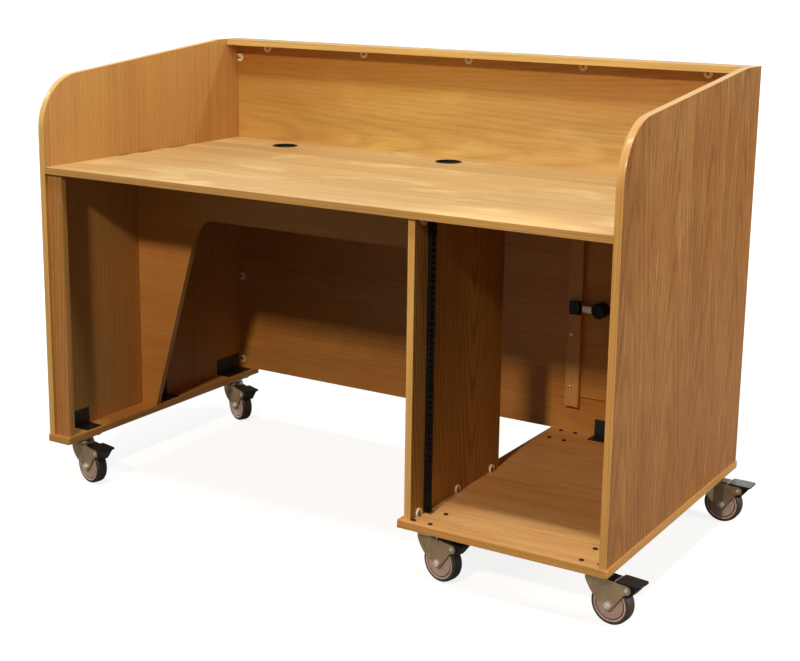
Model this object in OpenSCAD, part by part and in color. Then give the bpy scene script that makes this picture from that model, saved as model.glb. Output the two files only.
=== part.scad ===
// Presentation desk on six total-lock castors: oak-veneered boards, a 19-inch
// equipment bay under the right end and a lockable rear access door.
// Millimetres. +X to the right of a person sitting at the desk, +Y towards the
// back, +Z up, origin on the floor under the middle of the overall box.

/* [Desk] */
// Width over the two side panels
desk_w = 1680; // [1500:10:2000]
// Depth of the side panels
desk_d = 860; // [800:5:1000]
// Height of the rear top edge above the floor
desk_h = 1204; // [1150:2:1300]
// Height of the worktop's upper face above the floor
worktop_h = 897; // [886:1:960]
// Thickness of every board
board_t = 18; // [16:1:22]
// Height that the sloping top edge would reach at the front edge
slope_front_h = 1127; // [1080:1:1145]
// Length of the level stretch at the rear of the side panels
level_l = 112; // [92:1:140]
// Radius of the rounded top front corner of the side panels
corner_r = 145; // [60:1:150]
// Overhang of the base boards all round
base_lip = 4; // [4:0.5:8]
// How far the bay's base board stands out to the left of the partition
bay_base_left = 13; // [4:1:16]
// Corner radius of the base boards
base_corner_r = 6; // [4:1:20]
// How far the cap rail stands forward of the back panel
cap_reach = 57; // [40:1:70]

/* [Left leg and knee space] */
// Width of the left base board inside the side panel's outer face
left_base_w = 74; // [72:1:120]
// Width of the filler post behind the left front edge
post_w = 49; // [30:1:50]
// Set-back of the filler post and the partition from the front edge
post_setback = 10; // [4:1:30]
// Distance from the front edge to the brace panel
brace_y = 364; // [300:1:420]
// Width of the brace panel's leg where it stands on the base board
brace_foot = 52; // [40:1:54]
// Height of the brace panel's rail under the worktop
brace_rail_h = 154; // [120:1:200]
// Sideways run of the sloping edge of the cut-out
brace_run = 172; // [120:1:220]
// Radius of the cut-out's upper corner
brace_r = 65; // [30:1:80]

/* [Equipment bay] */
// Clear width between the partition and the right side panel
bay_w = 493.5; // [490:0.5:520]
// Depth of the partition
partition_d = 450; // [400:1:600]
// Width of the rack rails' front flange
rail_flange = 21.75; // [18:0.25:22]
// Depth of the rack rails' side flange
rail_d = 30; // [24:1:60]
// Steel thickness of the rack rails
rail_t = 2; // [1.5:0.1:3]
// Set-back of the rack rails behind the partition's front edge
rail_setback = 61; // [55:1:120]
// Least gap between the rack rails and the worktop
rail_gap = 8; // [4:1:12]
// Side of the square rail holes
rail_hole = 9.5; // [7:0.5:10]

/* [Cable ports] */
// Bore radius of the cable grommets
grommet_r = 30; // [20:1:35]
// Width of the grommet's rim
grommet_rim = 7.5; // [5:0.5:12]
// Distance from the left side panel's outer face to the left grommet
grommet_left_x = 263; // [200:1:400]
// Distance from the left side panel's outer face to the right grommet
grommet_right_x = 831; // [600:1:900]
// Distance from the back panel to the grommet centres
grommet_back = 91; // [60:1:150]

/* [Access door] */
// Distance from the right outer face to the door opening
door_inset = 48; // [44:1:60]
// Width of the door opening
door_w = 419; // [380:1:419]
// Height of the door opening's lower edge above the floor
door_z = 250; // [230:1:300]
// Height of the door opening
door_h = 520; // [440:1:540]
// Gap round the door
door_gap = 2; // [1.8:0.1:3]
// Width of the batten beside the door
batten_w = 41; // [36:1:45]
// How far the batten covers the door opening's edge
batten_cover = 12; // [8:1:16]
// How far the batten reaches past the door opening, above and below
batten_over = 26; // [20:1:40]
// Height of the lock above the floor
lock_z = 513; // [460:1:560]
// Radius of the lock body
lock_r = 21.5; // [18:0.5:26]

/* [Castors] */
// Height of a castor from the floor to its plate's upper face
castor_h = 128; // [126:1:138]
// Radius of a castor wheel
wheel_r = 50; // [46:1:50]
// Width of a castor wheel
wheel_w = 32; // [26:1:34]
// Trail from the swivel axis to the wheel axle
castor_trail = 45; // [42:1:48]
// Plate hole spacing across the desk
plate_sx = 45; // [43:1:50]
// Plate hole spacing along the desk's depth
plate_sy = 75; // [72:1:80]
// Distance from the front edge to the castor under the partition's front end
bay_castor_front = 54; // [50:1:90]
// Distance from the front edge to the right front castor
right_castor_front = 61; // [50:1:90]
// Distance from the rear edge to the bay's rear castors
bay_castor_rear = 71; // [65:1:100]
// Distance from the front and the rear edge to the left leg's castors
left_castor_inset = 88; // [60:1:140]
// Reach of the brake pedal from the swivel axis to its tip
pedal_reach = 122; // [114:1:126]
// Width of the brake pedal's tread pad
pedal_w = 48; // [40:1:56]
// Turn of the brake pedal in degrees
pedal_travel = 10; // [6:1:12]

/* [Hidden] */
$fn = 64;
inch = 25.4;
rack_unit = 1.75 * inch;

// Each castor's name, and the swing of its trail from straight right in degrees
CASTORS = [
    ["left_front", -13],
    ["left_rear", -23],
    ["bay_front", -12],
    ["bay_rear", -8],
    ["right_front", -7],
    ["right_rear", -1],
];
CASTOR_PARTS = ["fork", "axle", "hub", "tread", "pedal"];

// Clearances
running = 0.05;
near = 0.3;

// How far a straight edge lies inside the arcs that it joins
bite = 0.03;

// Castor sizes
plate_t = 3;
plate_margin = 9.5;
plate_r = 8;
plate_edge = 3;
race_r = 27;
race_h = 9;
skirt_r = 31;
crown_t = 6;
crown_end = 32;
king_r = 6;
cheek_t = 3;
cheek_gap = 2.2;
axle_r = 5;
pivot_rise = 46.8;
pivot_run = 43.5;
pivot_r = 3.5;
lobe_r = 11;
shoe_gap = 0.5;
pad_t = 4.2;
pad_chamfer = 4;
plate_bolt_r = 3;
plate_hole_r = 3.3;
bolt_head_r = 6.2;
bolt_head_h = 3.3;
bolt_socket_r = 2.3;
nut_r = 5.6;
nut_h = 4.5;
axle_nut_r = 9;
axle_nut_h = 5.6;
left_screw_l = 14;
right_bolt_edge = 7;

// Castor levels and places from them
crown_top = castor_h - plate_t - race_h - near;
crown_base = crown_top - crown_t;
cheek_in = wheel_w / 2 + cheek_gap;
cheek_out = cheek_in + cheek_t;
axle_at = [castor_trail, wheel_r];
pivot_at = axle_at + [pivot_run, pivot_rise];
pad_z = pivot_at[1] + lobe_r + 1.5;

// Board places along the width, from the left outer face
bay_left = desk_w - board_t - bay_w;
partition_x = bay_left - board_t;
left_castor_x = left_base_w - plate_sx / 2 - plate_margin - plate_edge;
bay_castor_x = bay_left + near + bolt_head_r + plate_sx / 2;
right_castor_x = desk_w - board_t - right_bolt_edge - plate_sx / 2;
castor_x = [left_castor_x, left_castor_x, bay_castor_x, bay_castor_x,
            right_castor_x, right_castor_x];
castor_y = [left_castor_inset, desk_d - left_castor_inset,
            bay_castor_front, desk_d - bay_castor_rear,
            right_castor_front, desk_d - bay_castor_rear];

// Overall box: the right-hand pedals stand out past the base board
function pedal_right(i) = castor_x[i] + pedal_reach * cos(CASTORS[i][1])
    + (pedal_w / 2 - pad_chamfer) * abs(sin(CASTORS[i][1]));
box_right = max(pedal_right(4), pedal_right(5), desk_w + base_lip);
left_x = -(box_right - base_lip) / 2;
right_x = left_x + desk_w;
front_y = -desk_d / 2;
rear_y = front_y + desk_d;
back_y = rear_y - board_t;
inner_left = left_x + board_t;
inner_right = right_x - board_t;

// Heights
base_z = castor_h;
floor_z = base_z + board_t;
under_top_z = worktop_h - board_t;
clear_h = under_top_z - floor_z;
cap_z = desk_h - board_t;
slope = atan((desk_h - slope_front_h) / (desk_d - level_l));

// Rack rails
rail_end = 2.4;
rail_foot = bolt_head_h + 1;
rail_units = floor((clear_h - rail_foot - rail_gap - 2 * rail_end) / rack_unit);
rail_len = rail_units * rack_unit + 2 * rail_end;
rail_z = floor_z + rail_foot;
rail_y = front_y + post_setback + rail_setback;
rail_hole_x = 14.2;
rail_hole_steps = [0.25 * inch, 0.875 * inch, 1.5 * inch];

// Door, hinges and lock
door_right = right_x - door_inset;
door_left = door_right - door_w;
hinge_x = door_right - door_gap / 2;
hinge_h = 60;
hinge_inset = 80;
hinge_z = [door_z + hinge_inset, door_z + door_h - hinge_inset];
hinge_pin_r = 2;
knuckle_r = 4;
knuckle_room_r = 4.4;
knuckle_h = hinge_h / 3;
leaf_t = 0.8;
leaf_d = 15;
leaf_hook = 2.6;
batten_x = door_left + batten_cover - batten_w;
batten_y = back_y - board_t;
batten_z = door_z - batten_over;
batten_h = door_h + 2 * batten_over;
lock_x = door_left + 68;
lock_d = 34;
bolt_h = 18;
bolt_t = 8;
bolt_l = 58;
bolt_y = back_y - 24;
bolt_tip = door_left + batten_cover + 4;
bolt_throw = 14;
strike_w = 30;
strike_h = 36;
strike_d = 17;
barrel_r = 9;
barrel_flange = 3;

// Panel connectors and brackets
con_r = 12;
con_bore = 7;
con_t = 4;
con_leg = 8;
con_floor = 0.8;
con_bolt_r = 2;
con_head_r = 2.6;
cap_con_inset = 133;
cap_con_count = 5;
con_side_z = [floor_z + 27, floor_z + 0.29 * (cap_z - floor_z), under_top_z - 84, cap_z - 41];
con_partition_y = [38, partition_d / 2 + 3, partition_d - 41];
bracket_leg = 48;
bracket_w = 55;
bracket_t = 2.5;
bracket_left_y = [80, brace_y + board_t + 34,
                  desk_d - board_t - 15 - 2 * bracket_w, desk_d - board_t - 14 - bracket_w];
bracket_bay_x = 104.5;
screw_r = 2.2;
screw_hole_r = 2.4;
screw_head_r = 4.2;
screw_head_h = 1.6;

// Shared shapes

// A board with rounded corners in plan
module round_board(w, d, t, r) linear_extrude(t) {
    translate([r, 0]) square([w - 2 * r, d]);
    translate([0, r]) square([w, d - 2 * r]);
    for (x = [r, w - r], y = [r, d - r]) translate([x, y]) circle(r);
}

// Two circles joined by lines along their outer tangents
module link(a, ra, b, rb) {
    lean = atan2(b[1] - a[1], b[0] - a[0]);
    dip = asin((ra - rb) / norm(b - a));
    up = [cos(lean + 90 - dip), sin(lean + 90 - dip)];
    down = [cos(lean - 90 + dip), sin(lean - 90 + dip)];
    translate(a) circle(ra);
    translate(b) circle(rb);
    polygon([a + (ra - bite) * up, b + (rb - bite) * up,
             b + (rb - bite) * down, a + (ra - bite) * down]);
}

// A profile drawn as depth and height, made into a board from x, t thick
module board_across(x, t) {
    translate([x, 0, 0]) rotate([90, 0, 90]) linear_extrude(t) children();
}

// A profile drawn as width and height, made into a board from y, t thick
module board_along(y, t) {
    translate([0, y + t, 0]) rotate([90, 0, 0]) linear_extrude(t) children();
}

// A screw in a hole t deep: the shank below the face, the head above it
module screw(t) {
    translate([0, 0, -t]) cylinder(r = screw_r, h = t);
    cylinder(r = screw_head_r, h = screw_head_h);
}

// Boards

// Side panel outline: straight front, round corner, sloping top, level rear
module side_outline() {
    centre_z = desk_h - (desk_d - level_l - corner_r) * tan(slope) - corner_r / cos(slope);
    translate([front_y, 0]) {
        polygon([[0, floor_z], [desk_d, floor_z], [desk_d, desk_h],
                 [desk_d - level_l, desk_h],
                 [corner_r * (1 - sin(slope)), centre_z + corner_r * cos(slope)],
                 [corner_r, centre_z], [0, centre_z]]);
        translate([corner_r, centre_z]) circle(corner_r, $fn = 128);
    }
}

module left_side_panel() color("peru") board_across(left_x, board_t) side_outline();

module right_side_panel() color("peru") board_across(inner_right, board_t) side_outline();

// Put a child at both cable ports, on the worktop's upper face
module at_ports() {
    for (x = [grommet_left_x, grommet_right_x])
        translate([left_x + x, back_y - grommet_back, worktop_h]) children();
}

module worktop() color("burlywood") difference() {
    translate([inner_left, front_y, under_top_z])
        cube([inner_right - inner_left, desk_d - board_t, board_t]);
    at_ports() translate([0, 0, -board_t - 1])
        cylinder(r = grommet_r + 2.2, h = board_t + 2);
}

// Room for the knuckles of the door's hinges
module knuckle_room() {
    for (z = hinge_z) translate([hinge_x, rear_y, z - hinge_h / 2 - 0.5])
        cylinder(r = knuckle_room_r, h = hinge_h + 1);
}

module back_panel() color("sandybrown") difference() {
    translate([inner_left, back_y, floor_z])
        cube([inner_right - inner_left, board_t, cap_z - floor_z]);
    translate([door_left, back_y - 1, door_z]) cube([door_w, board_t + 2, door_h]);
    knuckle_room();
}

module cap_rail() color("burlywood")
    translate([inner_left, back_y - cap_reach, cap_z])
        cube([inner_right - inner_left, cap_reach + board_t, board_t]);

module left_base_board() color("burlywood") difference() {
    translate([left_x - base_lip, front_y - base_lip, base_z])
        round_board(left_base_w + base_lip, desk_d + 2 * base_lip, board_t, base_corner_r);
    at_plate_holes(0, 1) translate([0, 0, base_z - 1])
        cylinder(r = plate_hole_r, h = left_screw_l + 2);
}

module bay_base_board() color("burlywood") difference() {
    translate([left_x + partition_x - bay_base_left, front_y - base_lip, base_z])
        round_board(desk_w - partition_x + bay_base_left + base_lip,
                    desk_d + 2 * base_lip, board_t, base_corner_r);
    at_plate_holes(2, 5) translate([0, 0, base_z - 1])
        cylinder(r = plate_hole_r, h = board_t + 2);
}

module partition_panel() color("peru")
    translate([left_x + partition_x, front_y + post_setback, floor_z])
        cube([board_t, partition_d, clear_h]);

// Cut-out of the brace panel: its left edge leans outwards up to a round
// corner under the rail, and it is open at the bottom and the right
module brace_cutout() {
    rail_low = under_top_z - brace_rail_h;
    lean = atan(brace_run / (rail_low - floor_z));
    foot_x = inner_left + brace_foot;
    corner = [foot_x + brace_run, rail_low];
    tangent = brace_r * tan(45 - lean / 2);
    difference() {
        polygon([[foot_x - tan(lean), floor_z - 1], corner,
                 [left_x + partition_x + 1, rail_low],
                 [left_x + partition_x + 1, floor_z - 1]]);
        difference() {
            polygon([corner, corner + [tangent, 0],
                     corner - tangent * [sin(lean), cos(lean)]]);
            translate(corner + [tangent, -brace_r]) circle(brace_r, $fn = 96);
        }
    }
}

module brace_panel() color("sandybrown") board_along(front_y + brace_y, board_t) difference() {
    translate([inner_left, floor_z]) square([partition_x - board_t, clear_h]);
    brace_cutout();
}

module left_front_post() color("peru")
    translate([inner_left, front_y + post_setback, floor_z])
        cube([post_w, board_t, clear_h]);

// Access door

module access_door() color("sandybrown") difference() {
    translate([door_left + door_gap, back_y, door_z + door_gap])
        cube([door_w - 2 * door_gap, board_t, door_h - 2 * door_gap]);
    knuckle_room();
    translate([lock_x, back_y - 1, lock_z]) rotate([-90, 0, 0])
        cylinder(r = barrel_r + running, h = board_t + 2);
}

module door_batten() color("peru")
    translate([batten_x, batten_y, batten_z]) cube([batten_w, board_t, batten_h]);

// A knuckle round the hinge pin, h high from z
module knuckle(z, h) {
    translate([hinge_x, rear_y, z]) difference() {
        cylinder(r = knuckle_r, h = h);
        translate([0, 0, -1]) cylinder(r = hinge_pin_r + running, h = h + 2);
    }
}

// A leaf in the gap beside the door, side 1 on the frame and -1 on the door,
// with hooks that reach into the knuckles listed as [z, h] pairs
module leaf(side, z, knuckles) {
    x = hinge_x + (side > 0 ? door_gap / 2 - leaf_t : -door_gap / 2);
    translate([x, rear_y - leaf_d, z - hinge_h / 2])
        cube([leaf_t, leaf_d - knuckle_room_r, hinge_h]);
    for (k = knuckles) {
        translate([x, rear_y - knuckle_room_r - 1, k[0]])
            cube([leaf_t, knuckle_room_r + 1 - leaf_hook, k[1]]);
        knuckle(k[0], k[1]);
    }
}

module hinge_leaves_frame() color("silver") for (z = hinge_z)
    leaf(1, z, [[z - hinge_h / 2, knuckle_h], [z + hinge_h / 2 - knuckle_h, knuckle_h]]);

module hinge_leaves_door() color("silver") for (z = hinge_z)
    leaf(-1, z, [[z - knuckle_h / 2 + near, knuckle_h - 2 * near]]);

module hinge_pins() color("gray") for (z = hinge_z)
    translate([hinge_x, rear_y, z - hinge_h / 2]) cylinder(r = hinge_pin_r, h = hinge_h);

// The lock bolt's bar from x, l long, grown by clear all round
module bolt_bar(clear, x, l) {
    translate([x, bolt_y - bolt_t / 2 - clear, lock_z - bolt_h / 2 - clear])
        cube([l, bolt_t + 2 * clear, bolt_h + 2 * clear]);
}

module lock_body() color("black") difference() {
    translate([lock_x, back_y, lock_z]) rotate([90, 0, 0])
        rotate_extrude() polygon([[0, 0], [lock_r, 0], [lock_r, lock_d - 4],
            [lock_r - 4, lock_d], [lock_r - 9, lock_d], [lock_r - 11, lock_d - 2],
            [0, lock_d - 2]]);
    bolt_bar(near, lock_x - lock_r - 1, bolt_tip + bolt_l + 1 - lock_x + lock_r + 1);
}

// The bolt's nose is cut back at a slant, as on a latch
module lock_bolt() color("silver") difference() {
    bolt_bar(0, bolt_tip, bolt_l);
    translate([bolt_tip, bolt_y - bolt_t / 2, lock_z]) rotate([0, 0, 45])
        cube([5, 5, 2 * bolt_h], center = true);
}

module lock_strike() color("black") difference() {
    translate([door_left + batten_cover - strike_w, batten_y - strike_d,
               lock_z - strike_h / 2]) cube([strike_w, strike_d, strike_h]);
    bolt_bar(0.8, bolt_tip - bolt_throw - 2, bolt_throw + 2);
}

module key_barrel() color("silver") difference() {
    translate([lock_x, back_y + 1, lock_z]) rotate([-90, 0, 0]) {
        cylinder(r = barrel_r, h = board_t + 1);
        translate([0, 0, board_t - 1 + near]) cylinder(r = barrel_r + barrel_flange, h = 2.2);
    }
    translate([lock_x - 0.8, rear_y - 6, lock_z - 4.5]) cube([1.6, 20, 9]);
}

// Rack rails

function rail_screw_z() = [for (i = [0:3]) rail_z + 40 + i * (rail_len - 80) / 3];

// An angle rail on the board face at x, its front flange towards side
module rack_rail(x, side) difference() {
    union() {
        translate([side > 0 ? x : x - rail_flange, rail_y, rail_z])
            cube([rail_flange, rail_t, rail_len]);
        translate([side > 0 ? x : x - rail_t, rail_y, rail_z])
            cube([rail_t, rail_d, rail_len]);
    }
    for (u = [0:rail_units - 1], s = rail_hole_steps)
        translate([x + side * rail_hole_x - rail_hole / 2, rail_y - 1,
                   rail_z + rail_end + u * rack_unit + s - rail_hole / 2])
            cube([rail_hole, rail_t + 2, rail_hole]);
    for (z = rail_screw_z()) translate([x - 5, rail_y + 0.65 * rail_d, z])
        rotate([0, 90, 0]) cylinder(r = screw_hole_r, h = 10);
}

module rack_rail_left() color("dimgray") rack_rail(left_x + bay_left, 1);

module rack_rail_right() color("dimgray") rack_rail(inner_right, -1);

// Cable grommets: a rim on the worktop and a collar through it
module cable_grommets() color("black") at_ports() rotate_extrude()
    polygon([[grommet_r, 1.5], [grommet_r + 1.5, 2.2], [grommet_r + grommet_rim - 1, 1.6],
             [grommet_r + grommet_rim, 0], [grommet_r + 1.9, 0],
             [grommet_r + 1.9, -board_t], [grommet_r, -board_t]]);

// Panel connectors. Each row: place on the joint line, tilt of the board's
// face, turn in the face of the open side from that face's +Y
BACK_FACE = [90, 0, 0];
BAY_FACE = [0, 90, 0];
function cap_con_x(i) = left_x + cap_con_inset
    + i * (desk_w - 2 * cap_con_inset) / (cap_con_count - 1);
CONNECTORS = concat(
    [for (i = [0:cap_con_count - 1]) [[cap_con_x(i), back_y, cap_z], BACK_FACE, 0]],
    [for (z = con_side_z) [[inner_left, back_y, z], BACK_FACE, 90]],
    [for (z = con_side_z) [[inner_right, back_y, z], BACK_FACE, -90]],
    [for (y = con_partition_y)
        [[left_x + bay_left, front_y + post_setback + y, floor_z], BAY_FACE, -90]],
    [for (y = con_partition_y)
        [[left_x + bay_left, front_y + post_setback + y, under_top_z], BAY_FACE, 90]]);

// Put a child drawn in the board's face, its open side towards +Y, in place
module at_connectors() {
    for (c = CONNECTORS)
        translate(c[0]) rotate(c[1]) rotate([0, 0, c[2]]) children();
}

// A connector's outline in the face, shrunk to radius r and cut off at the joint
module horseshoe(r) intersection() {
    translate([0, -con_leg]) circle(r);
    translate([-con_r - 1, -con_leg - con_r - 1]) square([2 * con_r + 2, con_leg + con_r + 1]);
}

module panel_connectors() color("ivory") at_connectors() difference() {
    linear_extrude(con_t) horseshoe(con_r);
    translate([0, 0, con_floor]) linear_extrude(con_t) {
        horseshoe(con_bore);
        translate([-con_bore, -con_leg]) square([2 * con_bore, con_leg + 1]);
    }
}

// The bolt of each connector lies in the horseshoe and ends at the joint
module connector_bolts() color("dimgray") at_connectors()
    translate([0, -con_leg - 2, con_floor + con_head_r]) rotate([-90, 0, 0]) {
        cylinder(r = con_bolt_r, h = con_leg + 2);
        cylinder(r = con_head_r, h = 2.5);
    }

// Corner brackets: an angle of flat steel on an upright board and a base board

// Where the screws of a bracket go along its width
function bracket_screw_y() = [bracket_w / 4, 3 * bracket_w / 4];

// A bracket with its corner along +Y from the origin, legs along +X and +Z
module bracket() difference() {
    union() {
        cube([bracket_leg, bracket_w, bracket_t]);
        cube([bracket_t, bracket_w, bracket_leg]);
    }
    for (y = bracket_screw_y()) {
        translate([0.7 * bracket_leg, y, -1]) cylinder(r = screw_hole_r, h = bracket_t + 2);
        translate([-1, y, 0.7 * bracket_leg]) rotate([0, 90, 0])
            cylinder(r = screw_hole_r, h = bracket_t + 2);
    }
}

module at_brackets() {
    for (y = bracket_left_y) translate([inner_left, front_y + y, floor_z]) children();
    for (x = [left_x + bay_left + bracket_bay_x, inner_right - bracket_bay_x - bracket_w])
        translate([x, back_y, floor_z]) rotate([0, 0, -90]) children();
}

module corner_brackets() color("black") at_brackets() bracket();

// Screws that hold the brackets, the batten and the rack rails
module wood_screws() color("gray") {
    at_brackets() for (y = bracket_screw_y()) {
        translate([0.7 * bracket_leg, y, bracket_t]) screw(bracket_t);
        translate([bracket_t, y, 0.7 * bracket_leg]) rotate([0, 90, 0]) screw(bracket_t);
    }
    for (z = batten_z + batten_h * [0.1, 0.364, 0.9])
        translate([batten_x + 13, batten_y, z]) rotate([90, 0, 0])
            cylinder(r = screw_head_r, h = screw_head_h);
    for (side = [-1, 1], z = rail_screw_z())
        translate([(side > 0 ? left_x + bay_left : inner_right) + side * rail_t,
                   rail_y + 0.65 * rail_d, z]) rotate([0, side * 90, 0]) screw(rail_t);
}

// Castors

// Put a child at the four plate holes of the castors from first to last
module at_plate_holes(first, last) {
    for (i = [first:last], sx = [-1, 1], sy = [-1, 1])
        translate([left_x + castor_x[i] + sx * plate_sx / 2,
                   front_y + castor_y[i] + sy * plate_sy / 2, 0]) children();
}

// Put a child drawn about the swivel axis under castor i's plate, turned with
// its fork
module at_castor(i) {
    translate([left_x + castor_x[i], front_y + castor_y[i], 0])
        rotate([0, 0, CASTORS[i][1]]) children();
}

// Mounting plate with the upper cup of its ball race, drawn about its axis
module castor_plate() {
    w = plate_sx + 2 * plate_margin;
    d = plate_sy + 2 * plate_margin;
    difference() {
        union() {
            translate([-w / 2, -d / 2, castor_h - plate_t]) round_board(w, d, plate_t, plate_r);
            translate([0, 0, castor_h - plate_t - race_h]) rotate_extrude()
                polygon([[0, 0], [race_r - 2, 0], [race_r, 2], [race_r, race_h],
                         [race_r + 4, race_h + plate_t / 2], [0, race_h + plate_t / 2]]);
        }
        translate([0, 0, castor_h - plate_t - race_h - 1])
            cylinder(r = king_r + running, h = race_h + plate_t);
    }
}

module castor_plates() color("silver") difference() {
    for (i = [0:5]) translate([left_x + castor_x[i], front_y + castor_y[i], 0]) castor_plate();
    at_plate_holes(0, 5) translate([0, 0, castor_h - plate_t - 1])
        cylinder(r = plate_hole_r, h = plate_t + 2);
}

// Domed bolt head with a hexagon socket
module bolt_head() difference() {
    rotate_extrude() polygon([[0, 0], [bolt_head_r, 0], [bolt_head_r, 1],
        [bolt_head_r - 1.2, 2.4], [bolt_head_r - 3, bolt_head_h], [0, bolt_head_h]]);
    translate([0, 0, bolt_head_h - 1.8]) cylinder(r = bolt_socket_r, h = 2, $fn = 6);
}

// Bolts with nuts through the bay's base board, screws up into the left one
module castor_bolts() color("black") {
    plate_low = castor_h - plate_t;
    at_plate_holes(2, 5) {
        translate([0, 0, floor_z]) bolt_head();
        translate([0, 0, plate_low - nut_h - near])
            cylinder(r = plate_bolt_r, h = floor_z - plate_low + nut_h + 1);
        translate([0, 0, plate_low - nut_h]) cylinder(r = nut_r, h = nut_h, $fn = 6);
    }
    at_plate_holes(0, 1) {
        translate([0, 0, plate_low - 4]) cylinder(r = nut_r, h = 4, $fn = 6);
        translate([0, 0, plate_low - 1])
            cylinder(r = plate_bolt_r, h = plate_t + left_screw_l + 1);
    }
}

// Fork in plan, shrunk by inset: a round skirt and two flat cheeks
module fork_plan(inset) {
    circle(skirt_r - inset, $fn = 96);
    translate([0, inset - cheek_out])
        square([pivot_at[0] + 20 + inset, 2 * (cheek_out - inset)]);
}

// Fork from the side: a leading edge that slants down to the axle's tip, a
// trailing edge that turns in a hollow curve into the pedal's lobe
module fork_side() {
    front = [-11, crown_base - 5];
    knee = axle_at + [-21, 14.5];
    tip = axle_at + [1, -7];
    shoulder = [castor_trail - 3, crown_base - 10.5];
    tip_r = 6.8;
    hollow_r = 16;
    rise = [cos(55), sin(55)];
    out = [sin(55), -cos(55)];
    edge = tip + (tip_r - bite) * out;
    across = (pivot_at - edge - hollow_r * out) * out;
    along = (pivot_at - edge) * rise - sqrt(pow(lobe_r + hollow_r, 2) - pow(across, 2));
    hollow = edge + along * rise + hollow_r * out;
    difference() {
        union() {
            link(front, 4, knee, 9);
            link(knee, 9, tip, tip_r);
            link(shoulder, 10, pivot_at, lobe_r);
            polygon([front, knee, tip, edge, edge + along * rise,
                     hollow + hollow_r / (lobe_r + hollow_r) * (pivot_at - hollow), pivot_at,
                     shoulder + [0, 10 - bite], [crown_end + 1, crown_base + 1],
                     [front[0], crown_base + 1]]);
        }
        translate(hollow) circle(hollow_r + bite);
        translate(axle_at) circle(axle_r - 0.9);
        translate(pivot_at) circle(pivot_r + running);
    }
}

module castor_fork(i) color("darkkhaki") at_castor(i) {
    difference() {
        union() {
            intersection() {
                linear_extrude(crown_base) fork_plan(0);
                translate([0, skirt_r + 1, 0]) rotate([90, 0, 0])
                    linear_extrude(2 * skirt_r + 2) fork_side();
            }
            rotate_extrude() polygon([[0, crown_base - 2], [skirt_r - 1, crown_base - 2],
                [skirt_r - 1, crown_base + 2], [skirt_r - 2.5, crown_top], [0, crown_top]]);
        }
        translate([0, 0, -1]) linear_extrude(crown_base - cheek_t + 1) fork_plan(cheek_t);
        translate([crown_end, -cheek_in, crown_base - cheek_t - 1])
            cube([pivot_at[0], 2 * cheek_in, cheek_t + 2]);
    }
    translate([0, 0, crown_top - 1])
        cylinder(r = king_r, h = castor_h - crown_top);
}

// Axle bolt between the cheeks, with a collar, a head or a nut on each side,
// and the riveted pin on which the brake pedal turns
module castor_axle(i) color("silver") at_castor(i) {
    translate([axle_at[0], 0, axle_at[1]]) rotate([90, 0, 0]) {
        cylinder(r = axle_r, h = 2 * cheek_in, center = true);
        cylinder(r = axle_r - 1, h = 2 * cheek_out + 1, center = true);
        for (s = [-1, 1]) {
            translate([0, 0, s * (cheek_in - 0.5)]) cylinder(r = 9, h = 1, center = true);
            translate([0, 0, s * (cheek_out + axle_nut_h / 2)])
                cylinder(r = axle_nut_r, h = axle_nut_h, center = true, $fn = 6);
        }
        translate([0, 0, cheek_out]) cylinder(r = axle_r - 1, h = axle_nut_h + 1.8);
    }
    translate([pivot_at[0], 0, pivot_at[1]]) rotate([90, 0, 0]) {
        cylinder(r = pivot_r, h = 2 * cheek_out + 1, center = true);
        for (s = [-1, 1]) translate([0, 0, s * (cheek_out + 0.6)])
            cylinder(r = pivot_r + 1.3, h = 1.2, center = true);
    }
}

// Half a profile, completed with its mirror image below the middle plane
function mirrored(half) = concat(half,
    [for (k = [len(half) - 1:-1:0]) [half[k][0], -half[k][1]]]);

// Wheel hub: a raised rim ring, a groove and a flat disc with a boss
rim_r = wheel_r - 8;
side_w = wheel_w / 2;
module castor_hub(i) color("rosybrown") at_castor(i)
    translate([axle_at[0], 0, axle_at[1]]) rotate([90, 0, 0]) rotate_extrude()
        polygon(mirrored([[rim_r, side_w - 1], [rim_r - 1, side_w],
            [rim_r - 3.5, side_w], [rim_r - 4.5, side_w - 3], [rim_r - 6.5, side_w - 3],
            [rim_r - 7.5, side_w - 1.2], [17, side_w - 1.2], [15.5, side_w],
            [axle_r + running, side_w]]));

module castor_tread(i) color("dimgray") at_castor(i)
    translate([axle_at[0], 0, axle_at[1]]) rotate([90, 0, 0]) rotate_extrude()
        polygon(mirrored([[wheel_r, side_w - 8], [wheel_r - 0.8, side_w - 4],
            [wheel_r - 2.6, side_w - 1.2], [wheel_r - 5, side_w], [rim_r, side_w]]));

// Brake pedal from the side: a release pad, the hub on the pivot pin, and a
// wedge whose heel presses on the tread when the pedal is down
module pedal_side() difference() {
    translate(pivot_at) polygon([[-48.5, 14.5], [-29, 14.5], [-27, lobe_r + 1.5],
        [pedal_reach - pivot_at[0] - 6, lobe_r + 1.5],
        [pedal_reach - pivot_at[0] - 4, lobe_r], [9, -15], [4, -19.8], [-4, -19],
        [-9, -12], [-12, -4], [-18, 3], [-30, 6], [-48.5, 10]]);
    translate(axle_at) circle(wheel_r + shoe_gap, $fn = 96);
    translate(pivot_at) rotate(pedal_travel) translate(axle_at - pivot_at)
        circle(wheel_r + shoe_gap, $fn = 96);
    translate(pivot_at) circle(pivot_r + running);
}

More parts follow.
